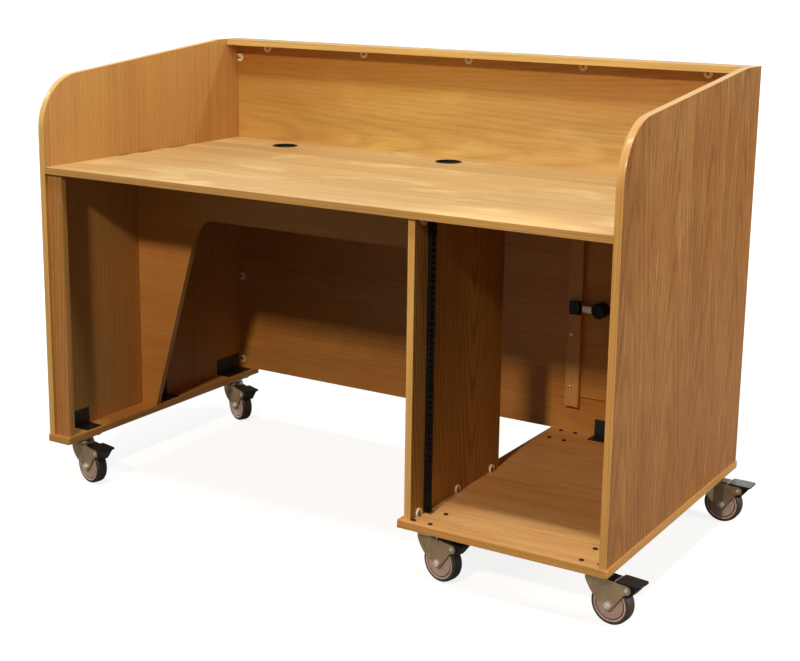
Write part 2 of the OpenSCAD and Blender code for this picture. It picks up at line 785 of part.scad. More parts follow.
module castor_pedal(i) color("black") at_castor(i) {
    web_w = 2 * cheek_in - 2.4;
    pad_x = pivot_at[0] - 26;
    half_w = pedal_w / 2;
    translate([0, web_w / 2, 0]) rotate([90, 0, 0]) linear_extrude(web_w) pedal_side();
    translate([0, 0, pad_z]) linear_extrude(pad_t)
        polygon([[pad_x, -half_w + 2], [pad_x + 2, -half_w],
                 [pedal_reach - pad_chamfer, -half_w], [pedal_reach, -half_w + pad_chamfer],
                 [pedal_reach, half_w - pad_chamfer], [pedal_reach - pad_chamfer, half_w],
                 [pad_x + 2, half_w], [pad_x, half_w - 2]]);
}

left_side_panel();
right_side_panel();
worktop();
back_panel();
cap_rail();
left_base_board();
bay_base_board();
partition_panel();
brace_panel();
left_front_post();
access_door();
door_batten();
rack_rail_left();
rack_rail_right();
cable_grommets();
panel_connectors();
connector_bolts();
corner_brackets();
wood_screws();
castor_plates();
castor_bolts();
hinge_leaves_frame();
hinge_leaves_door();
hinge_pins();
lock_body();
lock_bolt();
key_barrel();
lock_strike();
for (i = [0:5]) {
    castor_fork(i);
    castor_axle(i);
    castor_hub(i);
    castor_tread(i);
    castor_pedal(i);
}
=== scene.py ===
import math

import bmesh
import bpy
from mathutils import Matrix, Vector


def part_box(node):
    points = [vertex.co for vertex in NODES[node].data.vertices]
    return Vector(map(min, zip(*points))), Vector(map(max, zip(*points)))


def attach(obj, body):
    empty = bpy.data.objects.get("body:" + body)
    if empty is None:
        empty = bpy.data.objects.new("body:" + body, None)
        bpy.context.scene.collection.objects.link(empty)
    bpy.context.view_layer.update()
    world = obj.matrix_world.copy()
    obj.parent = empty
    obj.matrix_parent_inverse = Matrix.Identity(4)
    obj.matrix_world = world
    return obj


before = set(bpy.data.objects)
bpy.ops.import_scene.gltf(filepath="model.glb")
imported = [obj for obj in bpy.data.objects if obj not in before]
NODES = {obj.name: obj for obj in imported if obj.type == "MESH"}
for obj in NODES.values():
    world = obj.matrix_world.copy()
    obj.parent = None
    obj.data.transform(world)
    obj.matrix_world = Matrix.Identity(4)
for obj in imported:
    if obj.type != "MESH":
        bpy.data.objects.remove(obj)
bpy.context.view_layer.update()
scene = bpy.context.scene


# -------------------------------------------------------------- node graphs

def lin(rgb):
    """sRGB 0-255 to the linear colour that a node wants."""
    out = []
    for c in rgb:
        c /= 255
        out.append(c / 12.92 if c <= 0.04045 else ((c + 0.055) / 1.055) ** 2.4)
    return (*out, 1.0)


def scaled(rgb, k):
    return [min(255, c * k) for c in rgb]


class Nodes:
    """Short calls for building one node tree."""

    def __init__(self, tree):
        self.tree = tree
        tree.nodes.clear()

    def add(self, kind, **props):
        node = self.tree.nodes.new(kind)
        for k, v in props.items():
            setattr(node, k, v)
        return node

    def feed(self, socket, value):
        if isinstance(value, bpy.types.NodeSocket):
            self.tree.links.new(value, socket)
        elif value is not None:
            socket.default_value = value

    def math(self, op, a, b=None, c=None, clamp=False):
        node = self.add("ShaderNodeMath", operation=op, use_clamp=clamp)
        for s, v in zip(node.inputs, (a, b, c)):
            self.feed(s, v)
        return node.outputs[0]

    def mul(self, a, b):
        return self.math("MULTIPLY", a, b)

    def mad(self, a, b, c):
        """a * b + c"""
        return self.math("MULTIPLY_ADD", a, b, c)

    def minus(self, a, b):
        return self.math("SUBTRACT", a, b)

    def between(self, fac, a, b):
        """The number a at fac 0 and b at fac 1."""
        return self.mad(fac, b - a, a)

    def sway(self, noise, amount, base):
        """base, moved to and fro by a noise of 0 to 1."""
        return self.mad(self.minus(noise, 0.5), amount, base)

    def length(self, a, b):
        return self.math("SQRT", self.math("ADD", self.mul(a, a), self.mul(b, b)))

    def xyz(self, vector):
        node = self.add("ShaderNodeSeparateXYZ")
        self.feed(node.inputs[0], vector)
        return list(node.outputs)

    def vec(self, x, y, z):
        node = self.add("ShaderNodeCombineXYZ")
        for s, v in zip(node.inputs, (x, y, z)):
            self.feed(s, v)
        return node.outputs[0]

    def noise(self, vector, scale, detail, rough=0.5, warp=0.0):
        node = self.add("ShaderNodeTexNoise")
        for key, value in (("Vector", vector), ("Scale", scale), ("Detail", detail),
                           ("Roughness", rough), ("Distortion", warp)):
            self.feed(node.inputs[key], value)
        return node.outputs[0]

    def random(self, value):
        node = self.add("ShaderNodeTexWhiteNoise", noise_dimensions="1D")
        self.feed(node.inputs["W"], value)
        return node.outputs[0]

    def ramp(self, fac, stops):
        node = self.add("ShaderNodeValToRGB")
        marks = node.color_ramp.elements
        while len(marks) < len(stops):
            marks.new(0.5)
        for m, (at, colour) in zip(marks, stops):
            m.position = at
            m.color = colour if hasattr(colour, "__len__") else (colour,) * 3 + (1,)
        self.feed(node.inputs[0], fac)
        return node.outputs[0]

    def step(self, value, low, high):
        """0 below low, 1 above high, straight between; reversed if low > high."""
        node = self.add("ShaderNodeMapRange", clamp=True)
        self.feed(node.inputs["Value"], value)
        self.feed(node.inputs["From Min"], low)
        self.feed(node.inputs["From Max"], high)
        return node.outputs[0]

    def window(self, value, low, high, soft):
        """1 between low and high, with soft edges inside them."""
        return self.mul(self.step(value, low, low + soft), self.step(value, high, high - soft))

    def mix(self, fac, a, b, blend="MIX"):
        node = self.add("ShaderNodeMix", data_type="RGBA", blend_type=blend)
        for i, value in ((0, fac), (6, a), (7, b)):
            self.feed(node.inputs[i], value)
        return node.outputs[2]

    def mix_shader(self, fac, a, b):
        node = self.add("ShaderNodeMixShader")
        for socket, value in zip(node.inputs, (fac, a, b)):
            self.feed(socket, value)
        return node.outputs[0]


class Material(Nodes):
    """A node tree with a principled shader, and the object's own coordinates."""

    SOCKETS = {"colour": "Base Color", "rough": "Roughness", "metal": "Metallic",
               "level": "Specular IOR Level", "coat": "Coat Weight",
               "coat_rough": "Coat Roughness"}

    def __init__(self, name):
        self.mat = bpy.data.materials.new(name)
        self.mat.use_nodes = True
        super().__init__(self.mat.node_tree)
        self.bsdf = self.add("ShaderNodeBsdfPrincipled")
        self.feed(self.add("ShaderNodeOutputMaterial").inputs[0], self.bsdf.outputs[0])
        coordinates = self.add("ShaderNodeTexCoord")
        self.place = coordinates.outputs["Object"]
        self.normal = coordinates.outputs["Normal"]

    def bump(self, height, strength, distance):
        node = self.add("ShaderNodeBump")
        self.feed(node.inputs["Strength"], strength)
        self.feed(node.inputs["Distance"], distance)
        self.feed(node.inputs["Height"], height)
        self.feed(self.bsdf.inputs["Normal"], node.outputs[0])

    def set(self, **values):
        for k, v in values.items():
            self.feed(self.bsdf.inputs[self.SOCKETS[k]], v)


def paint(material, *nodes):
    for n in nodes:
        NODES[n].data.materials.clear()
        NODES[n].data.materials.append(material.mat)


# ---------------------------------------------------------------------- oak

AXES = "XYZ"
WARM_WOOD = (1.0, 0.84, 0.70, 1)    # linear tint of the warmer wood
OPENING_EDGE_SHADE = (58, 34, 14)             # painted shade of the door gap on an opening's unlipped edges
GAP_SHADE = (40, 22, 8)              # painted shade of the open joint at a board's left end
GAP_DEPTH = 0.008                   # how far that joint shows from the end
LIP_WIDTH = 0.002                   # how wide the lipping shows on a face
MARGIN = 0.005                      # an edge this near to the opening's node is its own
PLAIN_TONE = 0.53                   # the veneer's tone before any figure
FINE_TONE, LEAF_TONE = 0.30, 0.10   # how much fine lines, and each leaf, change it

# the lacquer; pairs are for the faces and the lipping
LEVEL = 0.3
ROUGH = (0.36, 0.29)
COAT = (0.05, 0.20)
COAT_ROUGH = (0.25, 0.13)


def oak(name, node, thin, grain, dark, mid, light, seed, leaf, lips, lip, side=None,
        flat=1.0, pith=0.05, lines=0.10, ringed=None, broad=0.10, fleck=0.5, pitch=0.0066,
        spread=1.0, run=1.1, taper=0.032, red=0.4, patches=0.0, pale=0.0, dashes=(),
        below=None, painted_light=None, opening=None):
    """Lacquered oak veneer on one board.

    thin, grain      axes of the board's thickness and of its grain
    dark, mid, light the wood's colours, sRGB 0-255
    seed, leaf       which wood, and the width of a veneer leaf
    lips, lip        borders, such as "-Y", whose lipping shows on the faces; its colour
    side             the side panels' outline: their lipping follows it too
    flat             1 for arched figure, 0 for straight
    pith             how far the cut lies from the trunk's middle
    lines, ringed    strength of the streaks, and of the ring lines where it differs
    broad, fleck     strength of the broad bands and of the dark pores
    pitch, taper     ring width, and the trunk's taper
    spread, run      how wide the streaks are, and how often they break along the grain
    red              share of warmer wood
    patches, pale    strength of paler spots, and of short pale flecks
    dashes           y ranges of painted shade in an open joint at the board's left end
    below            height, and the painted shade on the inner face under it
    painted_light    painted light and shade down and along one face, see add_painted_light()
    opening          node whose opening in this board has unlipped edges in painted shade
    """
    g = Material(name)
    t, l = AXES.index(thin), AXES.index(grain)
    a = 3 - t - l
    p, normal = g.xyz(g.place), g.xyz(g.normal)
    T, L, A = p[t], p[l], p[a]      # through the board, along the grain and across it

    def figure(u, per_u, v, per_v, w, detail, rough=0.5, warp=0.0):
        """Noise with that many features a metre in two directions."""
        return g.noise(g.vec(g.mul(u, per_u), g.mul(v, per_v), w), 1.0, detail, rough, warp)

    # the grain line wanders (W is A on it), and each leaf is cut from another place
    sway = figure(L, 0.9, A, 2.0, seed, 2)
    W = g.sway(sway, 0.035, A)
    count = g.math("DIVIDE", g.math("ADD", A, 5 + seed * 0.077), leaf)
    number = g.math("FLOOR", count)
    in_leaf = g.math("FRACT", count)
    tone = g.random(g.math("ADD", number, seed))
    shift = g.random(g.math("ADD", number, seed + 57.3))
    centre = g.mul(g.minus(in_leaf, g.mad(tone, 0.4, 0.3)), leaf)
    centre = g.sway(sway, 0.05, centre)
    along = g.mad(shift, 9.0, L)

    # growth rings of a tapering trunk, cut beside its middle: nested arches, with
    # porous early wood in each
    wander = figure(along, 1.6, W, 12, seed, 3)
    radius = g.math("SQRT", g.mad(centre, centre, pith * pith))
    radius = g.mad(radius, flat, g.mul(W, 1 - flat))
    radius = g.mad(along, taper * flat, radius)
    radius = g.mad(wander, 0.018 + 0.004 * flat, radius)
    ring = g.math("FRACT", g.math("DIVIDE", radius, pitch))
    early = g.mul(g.step(ring, 0.0, 0.16), g.step(ring, 0.62, 0.22))

    dash = figure(along, 18, W, 260 / spread, seed + 4, 3, 0.6)
    wide = figure(along, 0.6, W, 11 / spread ** 0.5, seed + 3, 2)
    streak = figure(along, run, W, 85 / spread, g.mul(T, 60), 3, 0.6, 0.3)
    fine = figure(along, 5, W, 420, g.mul(T, 200), 2, 0.6)
    pore = figure(along, 42, W, 1500, g.mul(T, 900), 2, 0.6)
    warm = figure(along, 1.3 * run, W, 14, seed + 9, 3, 0.6, 0.4)

    value = g.mad(early, -(lines if ringed is None else ringed), PLAIN_TONE)
    value = g.sway(wide, broad * 4, value)
    value = g.sway(streak, lines * 3.0, value)
    value = g.sway(fine, FINE_TONE, value)
    value = g.sway(tone, LEAF_TONE, value)
    colour = g.ramp(value, [(0.15, lin(dark)), (0.5, lin(mid)), (0.85, lin(light))])
    colour = g.mix(g.mul(g.step(warm, 0.40, 0.64), red), colour, WARM_WOOD, "MULTIPLY")
    if patches:
        # paler spots at random over the board
        pale_spot = figure(L, 5, A, 9, seed + 2, 2, 0.5, 0.5)
        colour = g.mix(g.mul(g.step(pale_spot, 0.56, 0.74), patches), colour,
                       lin(scaled(light, 1.12)))
    if pale:
        # short pale flecks of the wood's figure, away from the warmer wood
        fleck_figure = figure(along, 8, W, 110, seed + 13, 3, 0.6, 0.5)
        cluster = g.mul(g.step(warm, 0.62, 0.40), g.step(fleck_figure, 0.53, 0.66))
        colour = g.mix(g.mul(cluster, pale), colour, lin(scaled(light, 1.10)))
    porous = g.mul(g.step(dash, 0.50, 0.66), g.mad(early, 0.8, 0.2))
    colour = g.mix(g.mul(porous, fleck), colour, lin(dark))
    holes = g.mul(g.step(pore, 0.60, 0.72), g.mad(early, 0.7, 0.3))
    colour = g.mix(g.mul(holes, 0.35), colour, lin(scaled(dark, 0.6)))
    joint = g.math("ABSOLUTE", g.minus(in_leaf, 0.5))
    colour = g.mix(g.mul(g.step(joint, 0.4965, 0.4985), 0.5), colour, lin(dark))

    # painted shade: the inner face is darker and redder under the given height
    if below:
        height, tint = below
        painted_shade = g.mul(g.step(p[2], height + 0.002, height - 0.002),
                          g.step(normal[t], -0.4, -0.6))
        colour = g.mix(painted_shade, colour, (*tint, 1), "MULTIPLY")
    # a tint of painted light and shade on one face
    if painted_light:
        colour = add_painted_light(g, colour, p, normal[t], **painted_light)
    left_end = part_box(node)[0][0]
    # painted shade where the joint at the left end stands open
    for start, end in dashes:
        gap = g.mul(g.window(p[1], start, end, 0.006),
                    g.step(p[0], left_end + GAP_DEPTH + 0.001, left_end + GAP_DEPTH - 0.001))
        colour = g.mix(g.mul(gap, 0.9), colour, lin(GAP_SHADE))

    # lipping on the edges, its grain along the edge, and its line on the faces
    edge = g.step(g.math("ABSOLUTE", normal[t]), 0.80, 0.60)
    near = border_gap(g, p, node, lips, side)
    if near is not None:
        edge = g.math("MAXIMUM", edge, g.step(near, LIP_WIDTH + 0.0004, LIP_WIDTH - 0.0004))
        seam = g.window(near, LIP_WIDTH - 0.0006, LIP_WIDTH + 0.0014, 0.0008)
        colour = g.mix(g.mul(seam, 0.5), colour, lin(dark))
    edge_grain = figure(g.math("ADD", L, A), 4, T, 260, seed, 3, 0.6)
    banding = g.ramp(edge_grain, [(0.25, lin(scaled(lip, 0.86))), (0.55, lin(lip)),
                                  (0.8, lin(scaled(lip, 1.06)))])
    # lipping that faces up keeps the faces' thin coat
    coat = g.between(g.mul(edge, g.step(normal[2], 0.985, 0.90)), *COAT)
    level = LEVEL
    if opening:
        # the opening's edges: painted shade of the gap round the door, and no lacquer
        low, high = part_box(opening)
        inside = g.mul(*(g.window(p[i], low[i] - MARGIN, high[i] + MARGIN, 0.001)
                         for i in (0, 2)))
        banding = g.mix(inside, banding, lin(OPENING_EDGE_SHADE))
        lacquered = g.minus(1.0, g.mul(inside, edge))
        level, coat = g.mul(lacquered, level), g.mul(coat, lacquered)
    g.set(colour=g.mix(edge, colour, banding), level=level, coat=coat,
          rough=g.mad(fine, 0.16, g.between(edge, *ROUGH)),
          coat_rough=g.between(edge, *COAT_ROUGH))
    g.bump(g.mad(holes, -0.6, g.mul(fine, 0.5)), 0.16, 0.0004)
    paint(g, node)


PAINTED_LIGHT_LEFT = -0.6    # x from which the tint of painted light and shade changes towards the right


def add_painted_light(g, colour, p, facing, way, top, bottom, at_top, at_bottom, at_left, right_end):
    """The colour with a tint of painted light and shade, changing in straight lines: from
    at_top at height top to at_bottom at height bottom, times at_left up to x = -0.6 and 1 from
    right_end on. It lies on the face towards way only, and ends 40 mm under bottom."""
    down = g.step(p[2], top, bottom)
    tints = []
    for high, low, left, end in zip(at_top, at_bottom, at_left, right_end):
        across = g.between(g.step(p[0], PAINTED_LIGHT_LEFT, end), left, 1)
        tints.append(g.mul(g.between(down, high, low), across))
    face = g.mul(g.step(p[2], bottom - 0.042, bottom - 0.038),
                 g.step(facing, 0.4 * way, 0.6 * way))
    return g.mix(face, colour, g.mix(1.0, colour, g.vec(*tints), "MULTIPLY"))


def border_gap(g, p, node, lips, side):
    """Distance to the nearest lipped border, or None without one."""
    box = dict(zip("-+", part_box(node)))
    near = None
    for sign, axis in lips:
        ax = AXES.index(axis)
        gap = g.math("ABSOLUTE", g.minus(p[ax], box[sign][ax]))
        near = gap if near is None else g.math("MINIMUM", near, gap)
    if side:
        # the sloping top, and the round corner in its own quarter
        cy, cz, r, sy, sz, lean = side
        slope_gap = g.math("ABSOLUTE", g.math(
            "ADD", g.mul(g.minus(p[2], sz), math.cos(lean)),
            g.mul(g.minus(p[1], sy), -math.sin(lean))))
        dy, dz = g.minus(p[1], cy), g.minus(p[2], cz)
        arc_gap = g.math("ABSOLUTE", g.minus(g.length(dy, dz), r))
        corner = g.mul(g.math("LESS_THAN", dy, 0.0), g.math("GREATER_THAN", dz, 0.0))
        arc_gap = g.math("ADD", arc_gap, g.minus(1.0, corner))
        near = g.math("MINIMUM", near, g.math("MINIMUM", slope_gap, arc_gap))
    return near


def side_outline():
    """Centre and radius of the side panels' round corner, and the top's slope."""
    low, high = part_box("left_side_panel")
    front, rear, top = low[1], high[1], high[2]
    corner_r = 0.145
    level_part = 0.112      # the top's level part at the rear
    slope_foot = 1.127      # height that the slope aims at over the front edge
    depth = rear - front - level_part
    lean = math.atan((top - slope_foot) / depth)
    corner_z = top - (depth - corner_r) * math.tan(lean) - corner_r / math.cos(lean)
    return front + corner_r, corner_z, corner_r, rear - level_part, top, lean


SIDE = side_outline()
FRONT_REAR = ("-Y", "+Y")
ALL_ROUND = ("-Y", "+Y", "-X", "+X")
REAR_WOOD = dict(thin="Y", grain="X", dark=(164, 112, 56), mid=(214, 166, 98),
                 light=(232, 190, 124), seed=5.2, leaf=0.26, pith=0.06, lines=0.06,
                 broad=0.12, fleck=0.2, pitch=0.013, spread=1.6, run=2.6, taper=0.05,
                 red=0.35)

oak("oak_left_side", "left_side_panel", "X", "Z",
    (142, 94, 46), (195, 144, 81), (216, 168, 104), seed=1.7, leaf=0.225,
    lips=("-Y", "+Y", "-Z"), lip=(236, 188, 110), side=SIDE, flat=0.0, lines=0.05,
    broad=0.06, fleck=0.2, pitch=0.017, spread=2.2, red=0.3)
oak("oak_right_side", "right_side_panel", "X", "Z",
    (118, 70, 30), (172, 118, 63), (203, 152, 94), seed=7.1, leaf=0.23,
    lips=("-Y", "+Y", "-Z"), lip=(226, 170, 96), side=SIDE, lines=0.11, broad=0.14,
    fleck=0.55, pitch=0.017, spread=3.8, run=3.6, taper=0.09, red=0.7, pale=0.5,
    # painted shade: the outer face darker and redder towards the bottom
    painted_light=dict(way=1, top=1.10, bottom=0.18, at_top=(0.98, 0.98, 0.95),
              at_bottom=(0.90, 0.80, 0.58), at_left=(1, 1, 1), right_end=(0, 0, 0)))
oak("oak_worktop", "worktop", "Z", "X",
    (180, 132, 76), (216, 174, 114), (234, 202, 148), seed=3.3, leaf=0.27,
    lips=("-Y",), lip=(206, 156, 90), pith=0.09, lines=0.07, broad=0.12, fleck=0.15,
    pitch=0.03, spread=4, run=2.0, red=0.3, patches=0.5,
    dashes=((-0.145, -0.100), (-0.055, 0.0), (0.072, 0.145)))
oak("oak_back", "back_panel", **REAR_WOOD, lips=("-Z",), lip=(206, 150, 82), patches=0.2,
    # painted shade on the inner face under the worktop
    below=(0.888, (0.78, 0.60, 0.44)), opening="access_door",
    # painted light and shade on the inner face: a painted shadow under the cap rail, painted
    # shade to the left, paler and cooler painted light lower down
    painted_light=dict(way=-1, top=1.12, bottom=0.93, at_top=(0.74, 0.68, 0.58),
              at_bottom=(1.02, 1.20, 1.40), at_left=(0.86, 0.77, 0.58),
              right_end=(-0.15, -0.15, 0.3)))
oak("oak_door", "access_door", **REAR_WOOD, lips=("-X", "+X", "-Z", "+Z"),
    # painted shade on the door's whole inner face
    lip=(214, 160, 92), below=(2.0, (0.88, 0.72, 0.52)))
oak("oak_cap", "cap_rail", "Z", "X",
    (160, 106, 50), (202, 156, 90), (222, 180, 116), seed=6.4, leaf=0.30,
    lips=FRONT_REAR, lip=(226, 184, 110), flat=0.0, lines=0.06, fleck=0.3)
oak("oak_left_base", "left_base_board", "Z", "Y",
    (150, 92, 42), (196, 138, 74), (216, 164, 100), seed=2.2, leaf=0.3,
    lips=ALL_ROUND, lip=(206, 150, 80), flat=0.0, lines=0.06, fleck=0.3)
oak("oak_bay_base", "bay_base_board", "Z", "X",
    (150, 88, 44), (212, 158, 99), (232, 190, 130), seed=8.6, leaf=0.25,
    lips=ALL_ROUND, lip=(216, 158, 84), pith=0.07, lines=0.08, broad=0.14, fleck=0.3,
    pitch=0.012, spread=2.0, run=2.5, red=0.6)
oak("oak_partition", "partition_panel", "X", "Z",
    (104, 66, 28), (176, 130, 64), (200, 152, 86), seed=12.4, leaf=0.46,
    lips=FRONT_REAR, lip=(232, 180, 104), pith=0.035, lines=0.09, ringed=0.24,
    broad=0.08, fleck=0.45, pitch=0.014, spread=2.0, run=1.6, taper=-0.10, red=0.1)
oak("oak_brace", "brace_panel", "Y", "X",
    (142, 88, 38), (200, 140, 72), (216, 162, 96), seed=4.4, leaf=0.26,
    lips=(), lip=(200, 146, 80), flat=0.0, lines=0.08, broad=0.08, fleck=0.3,
    spread=1.5, run=2.0, red=0.5)
oak("oak_post", "left_front_post", "Y", "Z",
    (130, 80, 36), (196, 138, 76), (216, 162, 98), seed=9.4, leaf=0.2,
    lips=("+X",), lip=(206, 150, 82), pith=0.03, lines=0.12, fleck=0.4, pitch=0.009)
oak("oak_batten", "door_batten", "Y", "Z",
    (132, 82, 36), (206, 152, 86), (222, 172, 106), seed=12.3, leaf=0.2,
    lips=(), lip=(206, 150, 84), flat=0.0, lines=0.08, fleck=0.3)


def ease_edges(*nodes):
    """A hair of rounding on the boards' edges."""
    for n in nodes:
        weld = NODES[n].modifiers.new("weld", "WELD")
        weld.merge_threshold = 0.00001
        soft = NODES[n].modifiers.new("eased", "BEVEL")
        soft.width = 0.0009
        soft.segments = 2
        soft.limit_method = "ANGLE"
        soft.angle_limit = math.radians(50)
        soft.harden_normals = False


ease_edges("left_side_panel", "right_side_panel", "worktop", "cap_rail", "left_base_board",
           "bay_base_board", "partition_panel", "left_front_post")


# -------------------------------------------------------- metal and plastic

GRAIN_DEPTH = 0.0002        # bump distance of every metal and moulding


def metal(name, dark, light, rough=0.35, scale=60, metallic=1.0, brushed=None, bump=0.1,
          level=0.5):
    """Plated or, with metallic 0, coated metal; brushed is the axis of its lines."""
    g = Material(name)
    p = g.place
    if brushed:
        p = g.vec(*(g.mul(c, 0.08 if axis == brushed else 1)
                    for c, axis in zip(g.xyz(p), AXES)))
    cloud = g.noise(p, scale, 3, 0.6)
    grain = g.noise(p, scale * 22, 2, 0.7)
    both = g.mad(grain, 0.35, g.mul(cloud, 0.65))
    g.set(colour=g.ramp(both, [(0.3, lin(dark)), (0.7, lin(light))]), metal=metallic,
          rough=g.mad(both, 0.3, rough - 0.15), level=level)
    g.bump(grain, bump, GRAIN_DEPTH)
    return g


def plastic(name, dark, light, rough, bump=0.15, level=0.5):
    g = Material(name)
    cloud = g.noise(g.place, 45, 3, 0.6)
    grain = g.noise(g.place, 900, 2, 0.6)
    g.set(colour=g.ramp(cloud, [(0.35, lin(dark)), (0.68, lin(light))]),
          rough=g.mad(grain, 0.2, rough - 0.1), level=level)
    g.bump(grain, bump, GRAIN_DEPTH)
    return g


CASTORS = ["left_front", "left_rear", "bay_front", "bay_rear", "right_front", "right_rear"]

paint(metal("rail_coat", (8, 6, 5), (20, 16, 13), 0.6, scale=90, metallic=0.0, bump=0.25,
            level=0.15), "rack_rail_left", "rack_rail_right")
paint(plastic("grommet_moulding", (12, 10, 9), (26, 22, 20), 0.55, level=0.2),
      "cable_grommets")
paint(plastic("connector_moulding", (238, 222, 190), (255, 248, 226), 0.42, bump=0.08),
      "panel_connectors")
paint(metal("connector_bolt_zinc", (88, 84, 78), (150, 146, 138)), "connector_bolts")
paint(metal("bracket_coat", (8, 8, 8), (24, 22, 21), 0.42, metallic=0.0, bump=0.2),
      "corner_brackets")
paint(metal("screw_dark", (24, 22, 20), (58, 52, 47), 0.34, metallic=0.6), "wood_screws")
paint(metal("plate_zinc", (132, 130, 124), (196, 194, 186), 0.34, brushed="X"),
      "castor_plates")
paint(metal("bolt_black", (10, 10, 10), (30, 28, 27), 0.36, metallic=0.0), "castor_bolts")
paint(metal("hinge_satin", (140, 138, 132), (196, 194, 188), 0.3, brushed="Z"),
      "hinge_leaves_frame", "hinge_leaves_door", "hinge_pins")
paint(metal("lock_case", (9, 8, 7), (22, 19, 17), 0.45, metallic=0.0, bump=0.15,
            level=0.2), "lock_body", "lock_strike")
paint(metal("bolt_brass_grey", (188, 176, 146), (228, 218, 190), 0.3, metallic=0.3),
      "lock_bolt")
paint(metal("barrel_bright", (176, 174, 166), (226, 224, 216), 0.2), "key_barrel")
paint(metal("fork_zinc", (155, 132, 104), (184, 160, 130), 0.3, scale=30, metallic=0.6,
            bump=0.03), *(c + "_fork" for c in CASTORS))
paint(metal("axle_bright", (216, 212, 204), (246, 244, 238), 0.2, metallic=0.5),
      *(c + "_axle" for c in CASTORS))

# colours by distance from the axle, in tenths of a metre: the hub's disc, the groove
# in painted shade and the rim ring, then the tread
HUB_STOPS = [(0.0, (170, 142, 134)), (0.20, (204, 178, 171)), (0.345, (204, 178, 171)),
             (0.352, (96, 74, 70)), (0.374, (96, 74, 70)), (0.382, (240, 214, 206)),
             (0.41, (230, 202, 194))]
TREAD_STOPS = [(0.0, (96, 76, 70)), (0.44, (84, 66, 61)), (0.455, (50, 38, 36)),
               (0.50, (40, 32, 30))]
PALE_BAND = (0.0125, 0.0157)    # pale line across a pedal, ahead of the axle
PALE_LINE = (196, 188, 174)


def heading(points):
    """Angle of the long direction of points on the floor plane."""
    xx = sum(x * x for x, y in points)
    yy = sum(y * y for x, y in points)
    xy = sum(x * y for x, y in points)
    return 0.5 * math.atan2(2 * xy, xx - yy)


def castor_colours(castor):
    """Hub, tread and pedal of one castor, coloured from its own axle and heading."""
    low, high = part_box(castor + "_hub")
    mid = [(a + b) / 2 for a, b in zip(low, high)]

    def outline(part):
        return [(v.co.x - mid[0], v.co.y - mid[1])
                for v in NODES["%s_%s" % (castor, part)].data.vertices]

    def from_axle(g, cos, sin):
        """Distances from the axle: level along (cos, sin), and upwards."""
        x, y, z = (g.minus(v, m) for v, m in zip(g.xyz(g.place), mid))
        return g.mad(x, cos, g.mul(y, sin)), z

    turn = heading(outline("hub"))
    cos, sin = math.cos(turn), math.sin(turn)
    for part, stops, rough in (("hub", HUB_STOPS, 0.4), ("tread", TREAD_STOPS, 0.5)):
        g = Material("%s_%s_moulding" % (castor, part))
        along, z = from_axle(g, cos, sin)
        radius = g.math("SQRT", g.mad(along, along, g.mul(z, z)))
        cloud = g.noise(g.place, 60, 3, 0.6)
        grain = g.noise(g.place, 600, 2, 0.6)
        colour = g.ramp(g.mul(radius, 10), [(at, lin(c)) for at, c in stops])
        dull = g.mad(cloud, 0.5, 0.72)
        g.set(colour=g.mix(1.0, colour, g.vec(dull, dull, dull), "MULTIPLY"),
              rough=g.mad(grain, 0.2, rough - 0.1))
        g.bump(grain, 0.15, GRAIN_DEPTH)
        paint(g, "%s_%s" % (castor, part))

    reach = [x * cos + y * sin for x, y in outline("pedal")]
    way = 1 if max(reach) > -min(reach) else -1
    g = metal(castor + "_pedal_coat", (5, 5, 5), (16, 14, 14), 0.4, metallic=0.0, bump=0.15,
              level=0.25)
    along, z = from_axle(g, way * cos, way * sin)
    coat = g.bsdf.inputs["Base Color"].links[0].from_socket
    # a pale line across the pedal
    g.set(colour=g.mix(g.window(along, *PALE_BAND, 0.0008), coat, lin(PALE_LINE)))
    paint(g, castor + "_pedal")


for c in CASTORS:
    castor_colours(c)


# -------------------------------------------------------------- screw heads

def screw_heads(name, places, body):
    """Pan heads with a crossed recess, facing -Y."""
    head, height = 0.0042, 0.0016
    cross_reach, cross_half, cross_deep = 0.0026, 0.00055, 0.0009
    steps, rings = 48, 14
    mesh = bpy.data.meshes.new(name)
    bm = bmesh.new()
    for at in places:
        last = None
        for i in range(rings + 1):
            r = head * i / rings
            rise = height * math.sqrt(max(0.0, 1 - (i / rings) ** 4))
            loop = []
            for k in range(steps if i else 1):
                a = 2 * math.pi * k / steps
                u, v = r * math.cos(a), r * math.sin(a)
                in_cross = r < cross_reach and min(abs(u), abs(v)) < cross_half
                deep = cross_deep if in_cross else 0.0
                loop.append(bm.verts.new((at[0] + u, at[1] - rise + deep, at[2] + v)))
            if last:
                for k in range(steps):
                    a, b = loop[k], loop[(k + 1) % steps]
                    if len(last) == 1:
                        bm.faces.new((last[0], b, a))
                    else:
                        bm.faces.new((last[k], last[(k + 1) % steps], b, a))
            last = loop
    bmesh.ops.recalc_face_normals(bm, faces=bm.faces)
    bm.to_mesh(mesh)
    bm.free()
    ob = bpy.data.objects.new(name, mesh)
    scene.collection.objects.link(ob)
    mesh.materials.append(metal("screw_bright", (150, 142, 124), (214, 206, 188), 0.25).mat)
    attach(ob, body)


BATTEN_SCREWS = (0.1, 0.364, 0.9)   # shares of the batten's height
FROM_EDGE = 0.013                   # distance from its left edge

low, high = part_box("door_batten")
screw_heads("batten_screw_heads", [(low[0] + FROM_EDGE, low[1], low[2] + (high[2] - low[2]) * k)
                                   for k in BATTEN_SCREWS], "desk")


# -------------------------------------------------------------------- stage

FLOOR_SEEN, FLOOR_BOUNCE = 0.86, 0.14   # its grey for the camera, and for the light it gives
FLOOR_MIRRORED = 0.42                   # how far mirrored rays see the camera's grey
FLOOR_WHITE = 1.4                       # strength of the white that only the camera sees
WHITE_NEAR = 0.60                       # that white's share near the part; 1 far away
WHITE_FROM, WHITE_TO = 1.2, 3.2         # distances between which the share grows
WHITE = (1, 1, 1, 1)
HALF_SIZE = 80
UNDER = 0.0005                          # how far the floor lies under the wheels


